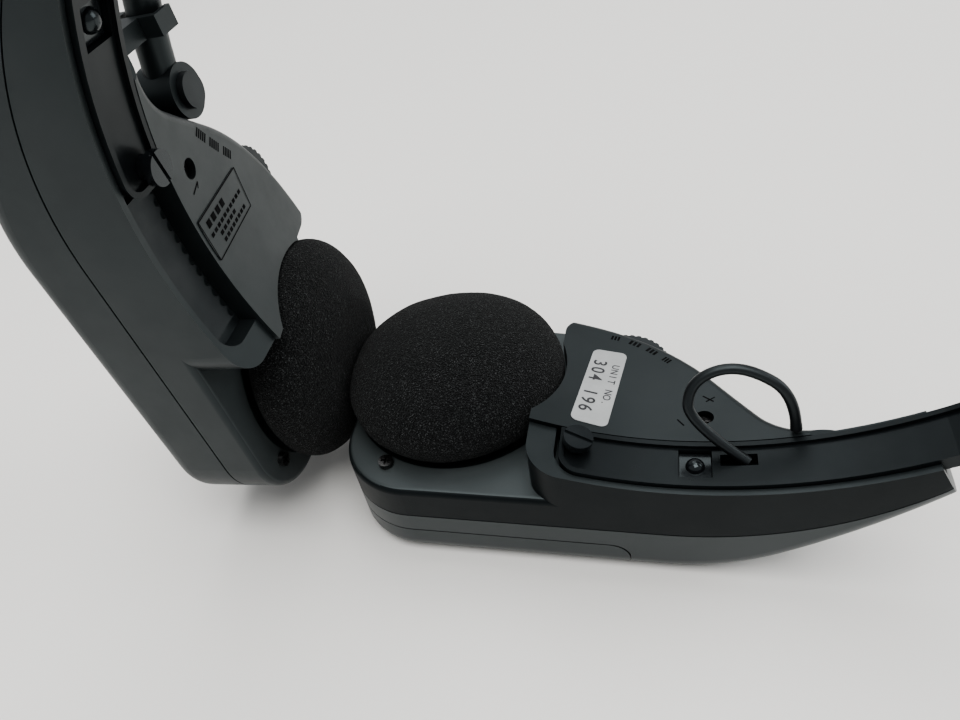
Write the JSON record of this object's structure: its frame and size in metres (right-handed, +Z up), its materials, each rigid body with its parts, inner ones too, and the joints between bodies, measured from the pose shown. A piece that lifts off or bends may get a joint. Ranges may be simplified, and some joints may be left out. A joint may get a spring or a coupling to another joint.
{
  "type": "headset microphone",
  "caption": "Stereo headset with sprung plastic headband, long ear pods with foam cushions, sliding height adjusters, and a swing-down microphone boom.",
  "frame": {"origin": "centre of the footprint of the resting headset, on the surface it rests on", "axes": "+X along the right pod towards the headband, +Y across the pod away from the headband's edge, +Z up"},
  "size_m": [0.1962, 0.059, 0.1853],
  "materials": {
    "shell_plastic": "satin",
    "band_plastic": "semi-gloss",
    "dark_metal": "satin",
    "steel": "satin",
    "foam": "open-cell foam",
    "label_paper": "matte",
    "label_dark": "matte",
    "rack_plastic": "matte",
    "board_laminate": "satin",
    "cell_wrap": "gloss",
    "lead_rubber": "satin"
  },
  "bodies": {
    "right_pod": {"right_inner_shell": "shell_plastic", "right_outer_shell": "shell_plastic", "right_slide_rack": "rack_plastic", "right_shell_screw": "dark_metal", "right_ear_face_screw": "dark_metal", "right_circuit_board": "board_laminate", "right_board_parts": "rack_plastic", "battery_cells": "cell_wrap", "battery_contacts": "steel", "volume_control": "rack_plastic", "serial_label": "label_paper", "right_cup_pivot_pin": "steel", "lead_pod_gland": "lead_rubber", "lead_loop": "lead_rubber"},
    "door": {"battery_door": "shell_plastic"},
    "volume_dial": {"volume_wheel": "shell_plastic"},
    "right_cup": {"right_ear_cup": "shell_plastic", "right_earphone_driver": "shell_plastic", "right_driver_magnet": "steel", "right_earphone_grille": "rack_plastic", "right_ear_cushion": "foam"},
    "headband": {"headband_strip": "band_plastic", "right_lock_screw": "dark_metal", "left_lock_screw": "dark_metal", "right_detent_leaf": "steel", "left_detent_leaf": "steel", "lead_band_gland": "lead_rubber"},
    "left_pod": {"left_inner_shell": "shell_plastic", "left_outer_shell": "shell_plastic", "left_slide_rack": "rack_plastic", "left_shell_screw": "dark_metal", "left_ear_face_screw": "dark_metal", "left_circuit_board": "board_laminate", "left_board_parts": "rack_plastic", "tuning_capacitor": "rack_plastic", "left_info_label": "label_dark", "left_cup_pivot_pin": "steel", "boom_bracket": "rack_plastic", "boom_hinge_pin": "steel", "boom_hinge_cap": "shell_plastic", "boom_park_clip": "shell_plastic"},
    "tuning_dial": {"tuning_wheel": "shell_plastic"},
    "left_cup": {"left_ear_cup": "shell_plastic", "left_earphone_driver": "shell_plastic", "left_driver_magnet": "steel", "left_earphone_grille": "rack_plastic", "left_ear_cushion": "foam"},
    "boom": {"boom_arm": "shell_plastic", "mic_housing": "shell_plastic", "mic_element": "steel", "mic_windscreen": "foam"}
  },
  "joints": [
    {"name": "right_adjust", "type": "hinge", "parent": "right_pod", "child": "headband", "pos_m": [0.0197, 0.0031, 0.1192], "axis": [0, -1, 0], "range_deg": [0, 3], "deforming": ["right_ear_cushion", "left_ear_cushion", "lead_loop"]},
    {"name": "left_adjust", "type": "hinge", "parent": "headband", "child": "left_pod", "pos_m": [0.0208, 0.0031, 0.0933], "axis": [0, 1, 0], "range_deg": [0, 20.7]},
    {"name": "right_cup_tilt", "type": "hinge", "parent": "right_pod", "child": "right_cup", "pos_m": [-0.0313, 0.0031, 0.0245], "axis": [1, 0, 0], "range_deg": [-4, 4], "deforming": ["right_ear_cushion", "left_ear_cushion"]},
    {"name": "left_cup_tilt", "type": "hinge", "parent": "left_pod", "child": "left_cup", "pos_m": [-0.06946, 0.0031, 0.03481], "axis": [-0.0809, 0, 0.9967], "range_deg": [-4, 4], "deforming": ["right_ear_cushion", "left_ear_cushion"]},
    {"name": "volume_turn", "type": "hinge", "parent": "right_pod", "child": "volume_dial", "pos_m": [0.0093, 0.0094, 0.0229], "axis": [0, 0, 1], "range_deg": [-135, 135]},
    {"name": "tuning_turn", "type": "hinge", "parent": "left_pod", "child": "tuning_dial", "pos_m": [-0.07434, 0.0094, 0.07515], "axis": [0.9967, 0, 0.0809], "range_deg": [-135, 135]},
    {"name": "door_slide", "type": "slide", "parent": "right_pod", "child": "door", "axis": [-1, 0, 0], "range_m": [0, 0.008]},
    {"name": "boom_swing", "type": "hinge", "parent": "left_pod", "child": "boom", "pos_m": [-0.07749, 0.0051, 0.10037], "axis": [-0.9967, 0, -0.0809], "range_deg": [0, 130]}
  ]
}
